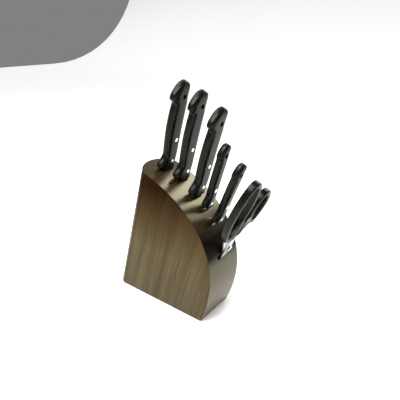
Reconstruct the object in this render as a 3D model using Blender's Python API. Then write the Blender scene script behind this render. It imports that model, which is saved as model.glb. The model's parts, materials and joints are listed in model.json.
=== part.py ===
"""Knife block with five riveted knives and a pair of kitchen scissors.

Frame: +X towards the curved front of the block, +Z up, the middle of the footprint on the ground
at the origin. The knives and the scissors stand in slots that run across the block, and each one
leans towards +X. Metres and degrees throughout.
"""
from math import atan2, cos, pi, radians, sin, tan

import bmesh
import bpy
from mathutils import Vector

# ---------------------------------------------------------------- driving dimensions
GAP = 0.0003              # between two pieces that touch

BLOCK_WIDTH = 0.067       # across the outer faces of the two side panels
BLOCK_DEPTH = 0.156       # along the ground, rear edge to foot of the front curve
CORNER_HEIGHT = 0.202     # rear top corner of a side panel
BACK_LEAN = 16.6          # how far the rear edge tips forwards from upright
CROWN_SLOPE = 16.6        # the top starts out falling forwards by this much
CROWN_PULL = 0.022        # length of the curve's handle at the crown
FOOT_ANGLE = 66.5         # the front meets the ground at this angle
FOOT_PULL = 0.160         # length of the curve's handle at the foot
NOSE_DEPTH = 0.020        # how far the rounded back bulges behind the side panels
REAR_OVERHANG = 0.05      # the top's straight run behind the corner, before it is trimmed
CLEAR = 0.01              # a cutter passes the face it cuts through by this
DEEP = 0.05               # how far the block's outline cutter reaches under the ground
FAR = 0.5                 # past everything

SIDE_THICKNESS = 0.006
COVER_THICKNESS = 0.002
BASE_THICKNESS = 0.004
CURVE_STEPS = 36

SCREW_HEAD_RADIUS = 0.0035
SCREW_HEAD_HEIGHT = 0.0022
SCREW_RADIUS = 0.0016
SCREW_LENGTH = 0.018
SCREW_INSET = 0.016       # from the middle of the base to each screw, across the block

BLADE_THICKNESS = 0.002
EDGE_THICKNESS = 0.0003
BLADE_PLAY = 0.0004       # between a blade's broad face and its slot
SLOT_END_PLAY = 0.0015    # past the spine and past the edge
GROOVE_BREAKTHROUGH = 0.0001  # a groove's cutter passes the face it is routed into by this
SLOT_BELOW_TIP = 0.004
SLOT_RISE = 0.03          # how far a slot's cutter reaches above its mouth

RIVET_RADIUS = 0.0028
HANGING_HOLE_RADIUS = 0.0030
SHOULDER_HEIGHT = 0.0009
BLUNT_TIP = 0.985         # share of the length after which a blade stops narrowing

# Outlines of the moulded handles: distances from the rivet line, the edge side negative.
LARGE_HANDLE = {
    "length": 0.1250, "thickness": 0.0126, "guard": -0.0222, "throat": -0.0118, "swell": -0.0155,
    "neck": -0.0124, "beak": -0.0195, "spine": 0.0112, "rivets": (0.0118, 0.0446),
    "hole": 0.1053, "tang_width": 0.012, "tang_length": 0.069, "edge_radius": 0.0030,
}
SMALL_HANDLE = {
    "length": 0.0950, "thickness": 0.0112, "guard": -0.0134, "throat": -0.0068, "swell": -0.0085,
    "neck": -0.0080, "beak": -0.0106, "spine": 0.0090, "rivets": (0.0062, 0.0277),
    "hole": 0.0802, "tang_width": 0.010, "tang_length": 0.050, "edge_radius": 0.0022,
}

# seat: where the handle's rear edge stands, as a share of the top curve's length.
# blade_spine and heel: the blade's spine from the rivet line, and its width at the heel.
# fall and belly: how far the spine drops to the tip, and how the edge curves up to it.
KNIVES = [
    {"name": "bread_knife", "handle": LARGE_HANDLE, "seat": 0.000, "lean": 15.3,
     "spine_to_side": 0.0165, "blade_spine": 0.0085, "heel": 0.028, "fall": 0.003, "belly": 7.0,
     "tip_above_base": 0.016},
    {"name": "chef_knife", "handle": LARGE_HANDLE, "seat": 0.107, "lean": 15.5,
     "spine_to_side": 0.0135, "blade_spine": 0.0085, "heel": 0.036, "fall": 0.004, "belly": 2.0,
     "tip_above_base": 0.014},
    {"name": "carving_knife", "handle": LARGE_HANDLE, "seat": 0.232, "lean": 17.2,
     "spine_to_side": 0.0155, "blade_spine": 0.0085, "heel": 0.026, "fall": 0.004, "belly": 3.0,
     "tip_above_base": 0.014},
    {"name": "utility_knife", "handle": SMALL_HANDLE, "seat": 0.323, "lean": 17.2,
     "spine_to_side": 0.0185, "blade_spine": 0.0075, "heel": 0.020, "fall": 0.003, "belly": 2.4,
     "tip_above_base": 0.030},
    {"name": "paring_knife", "handle": SMALL_HANDLE, "seat": 0.416, "lean": 22.2,
     "spine_to_side": 0.0180, "blade_spine": 0.0075, "heel": 0.018, "fall": 0.003, "belly": 1.8,
     "tip_above_base": 0.044},
]

SCISSORS_MOUTH = 0.605        # where the scissors' middle plane meets the top curve
SCISSORS_LEAN = 25.0
SCISSORS_TO_SIDE = 0.029      # from their middle line to the left outer face
SCISSORS_STEEL = 0.0022       # thickness of each half
SCISSORS_TIP_ABOVE_BASE = 0.020
SCISSORS_OPENING = 12.0       # how far they open while they stand in their slot
SCISSORS_MOUTH_EXTRA = 0.004   # the mouth is wider on the side the thumb half swings to
SCISSORS_SWING_PLAY = 0.006    # and the groove below it by the swing of the tip and this
PIVOT_HEAD_RADIUS = 0.0050
PIVOT_HEAD_HEIGHT = 0.0014
PIVOT_RADIUS = 0.0024
BLADE_HALF_WIDTH = 0.0095     # outer edge of a scissors blade from the middle line
# A scissors blade's back and edge: distance from the middle line, share of the depth.
SCISSORS_BACK = [(0.0010, 1.0), (0.0085, 0.62), (BLADE_HALF_WIDTH, 0.15)]
SCISSORS_EDGE = [(0.0025, 0.62), (0.0005, 1.0)]
SCISSORS_BACK_ENDS = 0.008       # the back's straight run stops this far below the pivot
SCISSORS_HEEL = [(0.0080, 0.006), (0.0030, 0.013)]  # where the edge starts, below the pivot
LOOP_THICKNESS = 0.0094
LOOP_RIM = 0.0072
LOOP_FOOT = 0.0085            # depth of plastic under a loop's opening
LOOP_NARROWING = 0.22         # how much narrower an oval's lower end is
LOOP_RIM_RADIUS = 0.0024
# Each loop's outline leaves its oval at the angles in "leaves" and runs round its shank, given
# as (distance from the middle line, height above the pivot). "steel" is the steel half from its
# inner edge at the crotch, round its tang, to its outer edge.
FINGER_LOOP = {
    "side": -1, "bottom": 0.0275, "length": 0.099, "width": 0.0415, "near": 0.0050,
    "leaves": (-65.0, 200.0),
    "shank": [(0.0048, 0.0550), (0.0046, 0.0340), (0.0062, 0.0268), (0.0200, 0.0264),
              (0.0270, 0.0286)],
    "steel": [(-0.0053, 0.0063), (-0.0010, 0.0180), (0.0022, 0.0262), (0.0110, 0.0300),
              (0.0124, 0.0337), (0.0224, 0.0337), (0.0235, 0.0245), (0.0175, 0.0120),
              (0.0105, 0.0010)],
}
THUMB_LOOP = {
    "side": 1, "bottom": 0.0370, "length": 0.0585, "width": 0.0375, "near": 0.0050,
    "leaves": (-75.0, 190.0),
    "shank": [(0.0010, 0.0580), (-0.0018, 0.0470), (-0.0030, 0.0320), (-0.0024, 0.0276),
              (0.0014, 0.0280), (0.0078, 0.0352), (0.0165, 0.0412)],
    "steel": [(-0.0075, 0.0040), (-0.0056, 0.0130), (-0.0014, 0.0268), (0.0050, 0.0385),
              (0.0110, 0.0455), (0.0170, 0.0455), (0.0150, 0.0428), (0.0012, 0.0286),
              (0.0026, 0.0150), (0.0050, 0.0030)],
}


# ---------------------------------------------------------------- materials and small helpers
def material(name, colour, roughness, metallic=0.0):
    made = bpy.data.materials.new(name)
    made.use_nodes = True
    shader = made.node_tree.nodes["Principled BSDF"]
    shader.inputs["Base Color"].default_value = (*colour, 1.0)
    shader.inputs["Roughness"].default_value = roughness
    shader.inputs["Metallic"].default_value = metallic
    return made


def new_object(name, bm, look, parent=None, smooth=True):
    """Turn a bmesh into a named object, with its faces turned outwards."""
    bmesh.ops.recalc_face_normals(bm, faces=bm.faces)
    mesh = bpy.data.meshes.new(name)
    bm.to_mesh(mesh)
    bm.free()
    if smooth:
        mesh.shade_smooth()
        mesh.set_sharp_from_angle(angle=radians(35))
    if look:
        mesh.materials.append(look)
    made = bpy.data.objects.new(name, mesh)
    made.parent = parent
    bpy.context.collection.objects.link(made)
    return made


def cutter(name, bm, parent=None):
    made = new_object("cut_" + name, bm, None, parent, smooth=False)
    made.hide_render = True
    made.display_type = "WIRE"
    return made


def cut(piece, tool, operation="DIFFERENCE"):
    step = piece.modifiers.new(operation.lower(), "BOOLEAN")
    step.operation = operation
    step.solver = "EXACT"
    step.object = tool


def prism(outline, place, low, high):
    """A closed prism: outline points are placed by place(a, b, height) at low and at high."""
    bm = bmesh.new()
    rings = [[bm.verts.new(place(a, b, height)) for a, b in outline] for height in (low, high)]
    count = len(outline)
    bm.faces.new(rings[0])
    bm.faces.new(rings[1])
    for i in range(count):
        j = (i + 1) % count
        bm.faces.new((rings[0][i], rings[0][j], rings[1][j], rings[1][i]))
    return bm


def across(a, b, height):
    """Outline in XZ, thickness along Y."""
    return (a, height, b)


def through(a, b, height):
    """Outline in YZ, thickness along X: a knife's own frame."""
    return (height, a, b)


def round_bar(radius, low, high, centre_y=0.0, centre_z=0.0, sides=16):
    """A straight pin along local X, in a knife's own frame."""
    outline = [
        (centre_y + radius * cos(2 * pi * i / sides), centre_z + radius * sin(2 * pi * i / sides))
        for i in range(sides)
    ]
    return prism(outline, through, low, high)


def smooth_through(points, steps):
    """A Catmull-Rom curve through the points, steps pieces between each two."""
    ends = [points[0], *points, points[-1]]
    curve = []
    for i in range(1, len(ends) - 2):
        p0, p1, p2, p3 = (Vector(p) for p in ends[i - 1:i + 3])
        for k in range(steps):
            t = k / steps
            curve.append(tuple(
                0.5 * (2 * p1 + (p2 - p0) * t + (2 * p0 - 5 * p1 + 4 * p2 - p3) * t ** 2
                       + (3 * p1 - 3 * p2 + p3 - p0) * t ** 3)
            ))
    curve.append(tuple(points[-1]))
    return curve


# ---------------------------------------------------------------- the block's side profile, in XZ
REAR_X = -BLOCK_DEPTH / 2
CORNER = Vector((REAR_X + CORNER_HEIGHT * tan(radians(BACK_LEAN)), CORNER_HEIGHT))
FOOT = Vector((REAR_X + BLOCK_DEPTH, 0.0))
CROWN_DIRECTION = Vector((cos(radians(CROWN_SLOPE)), -sin(radians(CROWN_SLOPE))))
FOOT_DIRECTION = Vector((cos(radians(FOOT_ANGLE)), sin(radians(FOOT_ANGLE))))


def top_point(t):
    """The cover's outer face, from the rear top corner (0) down to the foot (1)."""
    crown = CORNER + CROWN_PULL * CROWN_DIRECTION
    foot = FOOT + FOOT_PULL * FOOT_DIRECTION
    return ((1 - t) ** 3 * CORNER + 3 * t * (1 - t) ** 2 * crown
            + 3 * t ** 2 * (1 - t) * foot + t ** 3 * FOOT)


def top_curve(inset, steps=CURVE_STEPS):
    """The top curve set inwards by a distance, as points from the corner to the foot."""
    points = []
    for i in range(steps + 1):
        t = i / steps
        ahead = top_point(min(t + 1e-4, 1)) - top_point(max(t - 1e-4, 0))
        outwards = Vector((-ahead.y, ahead.x)).normalized()
        points.append(top_point(t) - inset * outwards)
    return points


def at_share(share):
    """The point at a share of the top curve's length."""
    points = top_curve(0.0, 400)
    steps = [(b - a).length for a, b in zip(points, points[1:])]
    left = share * sum(steps)
    for start, end, length in zip(points, points[1:], steps):
        if left <= length:
            return start.lerp(end, left / length)
        left -= length
    return points[-1]


def lean_axes(lean):
    """The direction a piece leans in, and the normal of its broad face, both in XZ."""
    up = Vector((sin(radians(lean)), cos(radians(lean))))
    return up, Vector((up.y, -up.x))


def crossing(origin, direction, points):
    """Where a line meets a run of points: the distance along the line, and the segment."""
    side = Vector((direction.y, -direction.x))
    for i, (a, b) in enumerate(zip(points, points[1:])):
        da, db = (a - origin).dot(side), (b - origin).dot(side)
        if da * db <= 0 and da != db:
            meet = a.lerp(b, da / (da - db))
            return (meet - origin).dot(direction), i
    raise ValueError("the line misses the curve")


def on_level(point, direction, height):
    """Where a line through a point meets a height."""
    return point + direction * ((height - point.y) / direction.y)


def down_to(points, height):
    """The part of a falling run of points that is above a height, ending right on it."""
    above = [p for p in points if p.y > height]
    last, below = above[-1], points[len(above)]
    return [*above, last.lerp(below, (last.y - height) / (last.y - below.y))]


# ---------------------------------------------------------------- where the slots are
SLOT_THICKNESS = BLADE_THICKNESS + 2 * BLADE_PLAY
STEEL_STACK = 2 * SCISSORS_STEEL + GAP
SCISSORS_SLOT_THICKNESS = STEEL_STACK + 2 * BLADE_PLAY
INNER_HALF_WIDTH = BLOCK_WIDTH / 2 - SIDE_THICKNESS
BOARD_HALF_WIDTH = INNER_HALF_WIDTH - GAP
BOARD_FLOOR = BASE_THICKNESS + GAP
OUTER_TOP = [CORNER - REAR_OVERHANG * CROWN_DIRECTION, *top_curve(0.0, 400)]
BOARD_TOP = top_curve(COVER_THICKNESS + GAP)


def knife_places():
    """Each knife's origin, on its rivet line at the end of the handle, and its blade's length."""
    for knife in KNIVES:
        up, normal = lean_axes(knife["lean"])
        rear_foot = at_share(knife["seat"])
        thickness = knife["handle"]["thickness"]
        under = [p - rear_foot for p in OUTER_TOP if 0 < (p - rear_foot).dot(normal) < thickness]
        lift = max([p.dot(up) for p in under] + [0.0])
        origin = rear_foot + up * (lift + GAP) + normal * thickness / 2
        to_base = (origin.y - BASE_THICKNESS) / up.y
        knife["origin"] = origin
        knife["length"] = to_base - knife["tip_above_base"]
        knife["y"] = BLOCK_WIDTH / 2 - knife["spine_to_side"] - knife["blade_spine"]


def scissors_place():
    """The scissors' mouth on the cover, and the pivot's height above it, in their own frame."""
    up, normal = lean_axes(SCISSORS_LEAN)
    mouth = at_share(SCISSORS_MOUTH)
    rear_of_nut = mouth - normal * (STEEL_STACK / 2 + PIVOT_HEAD_HEIGHT + GAP)
    lip, _ = crossing(rear_of_nut, up, OUTER_TOP)
    pivot = lip + PIVOT_HEAD_RADIUS + GAP
    to_base = (mouth.y - BASE_THICKNESS) / up.y
    return {
        "origin": mouth, "pivot": pivot, "depth": to_base - SCISSORS_TIP_ABOVE_BASE,
        "y": BLOCK_WIDTH / 2 - SCISSORS_TO_SIDE,
    }


def holder(name, origin, y, lean):
    """The empty that carries a knife or the scissors: local Z is the way they are drawn."""
    made = bpy.data.objects.new(name, None)
    made.location = (origin.x, y, origin.y)
    made.rotation_euler = (0.0, radians(lean), 0.0)
    bpy.context.collection.objects.link(made)
    return made


def slot_outline(low_y, high_y, thickness, sides=5):
    """A slot with round ends, in local XY."""
    r = thickness / 2
    turns = [pi * i / sides for i in range(sides + 1)]
    high = [(r * cos(a), high_y - r + r * sin(a)) for a in turns]
    low = [(-r * cos(a), low_y + r - r * sin(a)) for a in turns]
    return high + low


def slot_cutter(name, parent, low_y, high_y, thickness, depth, rise):
    outline = slot_outline(low_y, high_y, thickness)
    return cutter(name, prism(outline, lambda a, b, height: (a, b, height), -depth, rise), parent)


# ---------------------------------------------------------------- the block
def side_panel(name, outer_y, inner_y, look):
    toe = [FOOT, FOOT + FOOT_DIRECTION * (BASE_THICKNESS / FOOT_DIRECTION.y)]
    front = down_to(BOARD_TOP, BASE_THICKNESS)
    outline = [Vector((REAR_X, 0.0)), *toe, *reversed(front)]
    return new_object(name, prism(outline, across, outer_y, inner_y), look)


def nose_arc(steps=14):
    """Plan of the rounded back: an arc behind the side panels, as (distance behind, y)."""
    half = BLOCK_WIDTH / 2
    radius = (half ** 2 + NOSE_DEPTH ** 2) / (2 * NOSE_DEPTH)
    swing = atan2(half, radius - NOSE_DEPTH)
    for i in range(steps + 1):
        a = swing * (2 * i / steps - 1)
        yield radius * cos(a) - (radius - NOSE_DEPTH), radius * sin(a)


def back_board(look):
    """The rounded back, standing against the rear edges of the side panels."""
    lean, slope = tan(radians(BACK_LEAN)), tan(radians(CROWN_SLOPE))
    under_cover = CORNER - Vector((0.0, (COVER_THICKNESS + GAP) / cos(radians(CROWN_SLOPE))))
    bm = bmesh.new()
    low, high = [], []
    for behind, y in nose_arc():
        x = REAR_X - GAP - behind
        top = (under_cover.y + slope * (under_cover.x - x)) / (1 + slope * lean)
        low.append(bm.verts.new((x, y, 0.0)))
        high.append(bm.verts.new((x + lean * top, y, top)))
    bm.faces.new(low)
    bm.faces.new(high)
    for i in range(len(low)):
        j = (i + 1) % len(low)
        bm.faces.new((low[i], low[j], high[j], high[i]))
    return new_object("back_board", bm, look)


def cover(look):
    """The curved top and front: one bent panel, trimmed to the round back."""
    rear = -REAR_OVERHANG * CROWN_DIRECTION
    outer = down_to(top_curve(0.0), BOARD_FLOOR)
    inner = down_to(top_curve(COVER_THICKNESS), BOARD_FLOOR)
    outline = [outer[0] + rear, *outer, *reversed(inner), inner[0] + rear]
    half = BLOCK_WIDTH / 2
    made = new_object("cover", prism(outline, across, -half - CLEAR, half + CLEAR), look)

    plan = [(-behind, y) for behind, y in nose_arc()] + [(FAR, half), (FAR, -half)]
    lean = tan(radians(BACK_LEAN))

    def leaning(a, b, height):
        return (REAR_X + a + lean * height, b, height)

    cut(made, cutter("block_outline", prism(plan, leaning, -DEEP, FAR)), "INTERSECT")
    return made


def base_board(look, screws):
    lean = BASE_THICKNESS * tan(radians(BACK_LEAN))
    outline = [(REAR_X, 0.0), (FOOT.x, 0.0), (FOOT.x, BASE_THICKNESS),
               (REAR_X + lean, BASE_THICKNESS)]
    half = BOARD_HALF_WIDTH
    made = new_object("base_board", prism(outline, across, -half, half), look, smooth=False)
    for number, (x, y) in enumerate(screws, 1):
        hole = screw_shape(GAP, SCREW_LENGTH + GAP)
        tool = cutter(f"base_screw_{number}", hole)
        tool.location = (x, y, 0.0)
        cut(made, tool)
    return made


def screw_shape(play, length):
    """A countersunk screw pointing up, its head just inside the underside of the base."""
    sides = 16
    start = GAP - play
    head = [(SCREW_HEAD_RADIUS + play, start), (SCREW_RADIUS + play, start + SCREW_HEAD_HEIGHT),
            (SCREW_RADIUS + play, length)]
    if play:
        head.insert(0, (SCREW_HEAD_RADIUS + play, -GAP))
    bm = bmesh.new()
    rings = [
        [bm.verts.new((r * cos(2 * pi * i / sides), r * sin(2 * pi * i / sides), z))
         for i in range(sides)]
        for r, z in head
    ]
    bm.faces.new(rings[0])
    bm.faces.new(rings[-1])
    for a, b in zip(rings, rings[1:]):
        for i in range(sides):
            j = (i + 1) % sides
            bm.faces.new((a[i], a[j], b[j], b[i]))
    return bm


def board_faces(slots):
    """The slanted faces between the core boards: a point and a direction for each slot."""
    faces = []
    for slot in slots:
        up, normal = lean_axes(slot["lean"])
        reach = slot["thickness"] / 2 - GROOVE_BREAKTHROUGH
        faces.append((slot["origin"] + normal * reach, up, normal))
    return faces


def core_boards(slots, look):
    """The boards between the slots; each has the groove of the slot in front of it."""
    faces = board_faces(slots)
    half = BOARD_HALF_WIDTH
    rear_up, rear_normal = lean_axes(BACK_LEAN)
    rear = (Vector((REAR_X, 0.0)), rear_up, rear_normal)
    starts = [rear, *[(p + n * GAP, u, n) for p, u, n in faces]]
    boards = []
    for number, (point, up, _) in enumerate(starts, 1):
        if number == 1:
            first, top_left = 1, BOARD_TOP[0]
        else:
            reach, before = crossing(point, up, BOARD_TOP)
            first, top_left = before + 1, point + up * reach
        if number <= len(faces):
            front, front_up, _ = faces[number - 1]
            reach, last = crossing(front, front_up, BOARD_TOP)
            right = [front + front_up * reach, on_level(front, front_up, BOARD_FLOOR)]
        else:
            run = down_to(BOARD_TOP, BOARD_FLOOR)
            last, right = len(run) - 2, run[-1:]
        outline = [on_level(point, up, BOARD_FLOOR), top_left, *BOARD_TOP[first:last + 1], *right]
        board = new_object(f"core_board_{number}", prism(outline, across, -half, half), look)
        boards.append(board)
    return boards


# ---------------------------------------------------------------- the knives
def handle_outline(h):
    """The moulded handle seen from its broad side, as (y, z) from the rivet line and its end."""
    length = h["length"]
    grip = smooth_through([
        (h["throat"], 0.000 * length), (h["guard"], 0.045 * length),
        (0.45 * h["guard"] + 0.55 * h["throat"], 0.112 * length), (h["throat"], 0.170 * length),
        (0.35 * h["swell"] + 0.65 * h["throat"], 0.250 * length), (h["swell"], 0.500 * length),
        (0.60 * h["swell"] + 0.40 * h["neck"], 0.680 * length), (h["neck"], 0.775 * length),
    ], 3)
    butt = smooth_through([
        (h["beak"], 0.815 * length), (0.70 * h["beak"], 0.905 * length),
        (0.30 * h["beak"], 0.972 * length), (0.20 * h["spine"], length),
        (0.85 * h["spine"], 0.975 * length), (h["spine"], 0.925 * length),
    ], 3)
    return grip + butt + [(h["spine"], 0.0)]


def inset_outline(outline, distance):
    """Each point moved inwards, square to the outline beside it."""
    moved = []
    count = len(outline)
    area = sum(outline[i - 1][0] * outline[i][1] - outline[i][0] * outline[i - 1][1]
               for i in range(count))
    if area > 0:
        distance = -distance
    for i in range(count):
        before, here, after = (Vector(outline[(i + k) % count]) for k in (-1, 0, 1))
        a, b = (here - before).normalized(), (after - here).normalized()
        bisector = (Vector((a.y, -a.x)) + Vector((b.y, -b.x)))
        stretch = max(bisector.length_squared / 2, 0.6)
        moved.append(tuple(here + bisector * (distance / stretch)))
    return moved


def rounded_slab(outline, thickness, radius):
    """An outline in local YZ given a thickness along X, its two rims rounded."""
    half = thickness / 2
    levels = []
    for turn in (90, 45, 0):
        a = radians(turn)
        levels.append((half - radius * (1 - sin(a)), radius * (1 - cos(a))))
    rows = [(x, inset) for x, inset in levels] + [(-x, inset) for x, inset in reversed(levels)]
    bm = bmesh.new()
    rings = [
        [bm.verts.new((x, y, z)) for y, z in inset_outline(outline, inset)]
        for x, inset in rows
    ]
    bm.faces.new(rings[0])
    bm.faces.new(rings[-1])
    count = len(outline)
    for a, b in zip(rings, rings[1:]):
        for i in range(count):
            j = (i + 1) % count
            bm.faces.new((a[i], a[j], b[j], b[i]))
    return bm


def handle(knife, parent, look):
    h = knife["handle"]
    name = knife["name"]
    half = h["thickness"] / 2
    made = new_object(name + "_handle",
                      rounded_slab(handle_outline(h), h["thickness"], h["edge_radius"]),
                      look, parent)
    side = h["tang_width"] / 2 + GAP
    end = h["tang_length"] + GAP
    socket = [(-side, -CLEAR), (side, -CLEAR), (side, end), (-side, end)]
    room = BLADE_THICKNESS / 2 + GAP
    cut(made, cutter(name + "_socket", prism(socket, through, -room, room), parent))
    for number, z in enumerate(h["rivets"], 1):
        bore = round_bar(RIVET_RADIUS + GAP, -half - CLEAR, half + CLEAR, 0.0, z)
        cut(made, cutter(f"{name}_bore_{number}", bore, parent))
    hole = round_bar(HANGING_HOLE_RADIUS, -half - CLEAR, half + CLEAR, 0.0, h["hole"])
    cut(made, cutter(name + "_hole", hole, parent))
    return made


def blade(knife, parent, look, stations=12):
    """A blade with its tang: a wedge from the spine to the edge, narrowing to the tip."""
    h = knife["handle"]
    length, heel, spine = knife["length"], knife["heel"], knife["blade_spine"]
    rows = []
    for i in range(stations + 1):
        drop = length * (1 - i / stations)
        far = min(drop / length, BLUNT_TIP)
        top = spine - knife["fall"] * far ** 3
        low = top - heel * (1 - far ** knife["belly"])
        thick = BLADE_THICKNESS * (1 - 0.4 * far ** 2)
        rows.append((-max(drop, SHOULDER_HEIGHT + GAP), low, top, thick, EDGE_THICKNESS))
    side = h["tang_width"] / 2
    for z in (-GAP, h["tang_length"]):
        rows.append((z, -side, side, BLADE_THICKNESS, BLADE_THICKNESS))
    bm = bmesh.new()
    rings = []
    for z, low, top, thick, edge in rows:
        corners = ((thick / 2, top), (-thick / 2, top), (-edge / 2, low), (edge / 2, low))
        rings.append([bm.verts.new((x, y, z)) for x, y in corners])
    bm.faces.new(rings[0])
    bm.faces.new(rings[-1])
    for a, b in zip(rings, rings[1:]):
        for i in range(4):
            j = (i + 1) % 4
            bm.faces.new((a[i], a[j], b[j], b[i]))
    made = new_object(knife["name"] + "_blade", bm, look, parent)
    for number, z in enumerate(h["rivets"], 1):
        bore = round_bar(RIVET_RADIUS + GAP, -BLADE_THICKNESS, BLADE_THICKNESS, 0.0, z)
        cut(made, cutter(f"{knife['name']}_tang_bore_{number}", bore, parent))
    return made


def rivets(knife, parent, look):
    h = knife["handle"]
    half = h["thickness"] / 2
    for number, z in enumerate(h["rivets"], 1):
        new_object(f"{knife['name']}_rivet_{number}",
                   round_bar(RIVET_RADIUS, -half, half, 0.0, z), look, parent)


# ---------------------------------------------------------------- the scissors
def half_outline(pivot, depth, loop):
    """One steel half seen from the front, as (y, z): its blade, its shank and its tang."""
    back = [(-across, -along * depth) for across, along in SCISSORS_BACK]
    back.append((-BLADE_HALF_WIDTH, pivot - SCISSORS_BACK_ENDS))
    edge = [(across, pivot - below) for across, below in SCISSORS_HEEL]
    edge += [(across, -along * depth) for across, along in SCISSORS_EDGE]
    upper = [(u, pivot + z) for u, z in loop["steel"]]
    return [(loop["side"] * y, z) for y, z in back + upper + edge]


def oval(centre_y, centre_z, half_width, half_length, start=0.0, end=360.0, steps=28):
    """Points round an oval whose lower half narrows, from one angle to another."""
    for i in range(steps):
        a = radians(start + (end - start) * i / (steps - 1 if end - start < 360 else steps))
        narrow = 1 - LOOP_NARROWING * max(-sin(a), 0.0)
        yield centre_y + half_width * cos(a) * narrow, centre_z + half_length * sin(a)


def finger_loop(name, loop, pivot, look, parent):
    """A plastic loop with its shank: a rounded slab with an oval opening."""
    half_width, half_length = loop["width"] / 2, loop["length"] / 2
    centre_y = loop["near"] + half_width
    outer = [*oval(centre_y, loop["bottom"] + half_length, half_width, half_length,
                   *loop["leaves"]), *loop["shank"]]
    opening_length = (loop["length"] - LOOP_RIM - LOOP_FOOT) / 2
    opening = oval(centre_y, loop["bottom"] + LOOP_FOOT + opening_length,
                   half_width - LOOP_RIM, opening_length)
    side = loop["side"]
    outer = [(side * y, pivot + z) for y, z in outer]
    opening = [(side * y, pivot + z) for y, z in opening]
    made = new_object(name, rounded_slab(outer, LOOP_THICKNESS, LOOP_RIM_RADIUS), look, parent)
    cut(made, cutter(name + "_opening",
                     prism(opening, through, -LOOP_THICKNESS, LOOP_THICKNESS), parent))
    return made


def scissors(place, looks):
    """Two steel halves that cross at the pivot, a loop on each, and the screw with its nut."""
    steel, plastic = looks
    carrier = holder("scissors_slide", place["origin"], place["y"], SCISSORS_LEAN)
    pivot, depth = place["pivot"], place["depth"]
    layers = {
        "finger": (FINGER_LOOP, -GAP / 2 - SCISSORS_STEEL, -GAP / 2),
        "thumb": (THUMB_LOOP, GAP / 2, GAP / 2 + SCISSORS_STEEL),
    }
    turning = bpy.data.objects.new("scissors_pivot", None)
    turning.parent = carrier
    turning.location = (0.0, 0.0, pivot)
    bpy.context.collection.objects.link(turning)
    for name, (loop, low, high) in layers.items():
        parent, drop = (carrier, 0.0) if name == "finger" else (turning, pivot)
        outline = [(y, z - drop) for y, z in half_outline(pivot, depth, loop)]
        half = new_object(f"scissors_{name}_blade", prism(outline, through, low, high), steel,
                          parent, smooth=False)
        bore = round_bar(PIVOT_RADIUS + GAP, low - CLEAR, high + CLEAR, 0.0, pivot - drop)
        cut(half, cutter(f"scissors_{name}_bore", bore, parent))
        ring = finger_loop(f"scissors_{name}_loop", loop, pivot - drop, plastic, parent)
        socket = prism(inset_outline(outline, -GAP), through, low - GAP, high + GAP)
        cut(ring, cutter(f"scissors_{name}_socket", socket, parent))
    reach = STEEL_STACK / 2 + GAP
    new_object("scissors_pivot_screw", pivot_screw(pivot, reach), steel, carrier)
    disc = round_bar(PIVOT_HEAD_RADIUS, -reach - PIVOT_HEAD_HEIGHT, -reach, 0.0, pivot)
    nut = new_object("scissors_pivot_nut", disc, steel, carrier)
    bore = round_bar(PIVOT_RADIUS + GAP, -reach - CLEAR, 0.0, 0.0, pivot)
    cut(nut, cutter("scissors_nut_bore", bore, carrier))
    return carrier


def pivot_screw(pivot, reach, sides=16):
    """A flat head in front, and the pin that goes through both halves and the nut."""
    rows = [(PIVOT_HEAD_RADIUS, reach + PIVOT_HEAD_HEIGHT), (PIVOT_HEAD_RADIUS, reach),
            (PIVOT_RADIUS, reach), (PIVOT_RADIUS, -reach - PIVOT_HEAD_HEIGHT)]
    bm = bmesh.new()
    rings = [
        [bm.verts.new((x, r * cos(2 * pi * i / sides), pivot + r * sin(2 * pi * i / sides)))
         for i in range(sides)]
        for r, x in rows
    ]
    bm.faces.new(rings[0])
    bm.faces.new(rings[-1])
    for a, b in zip(rings, rings[1:]):
        for i in range(sides):
            j = (i + 1) % sides
            bm.faces.new((a[i], a[j], b[j], b[i]))
    return bm


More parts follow.
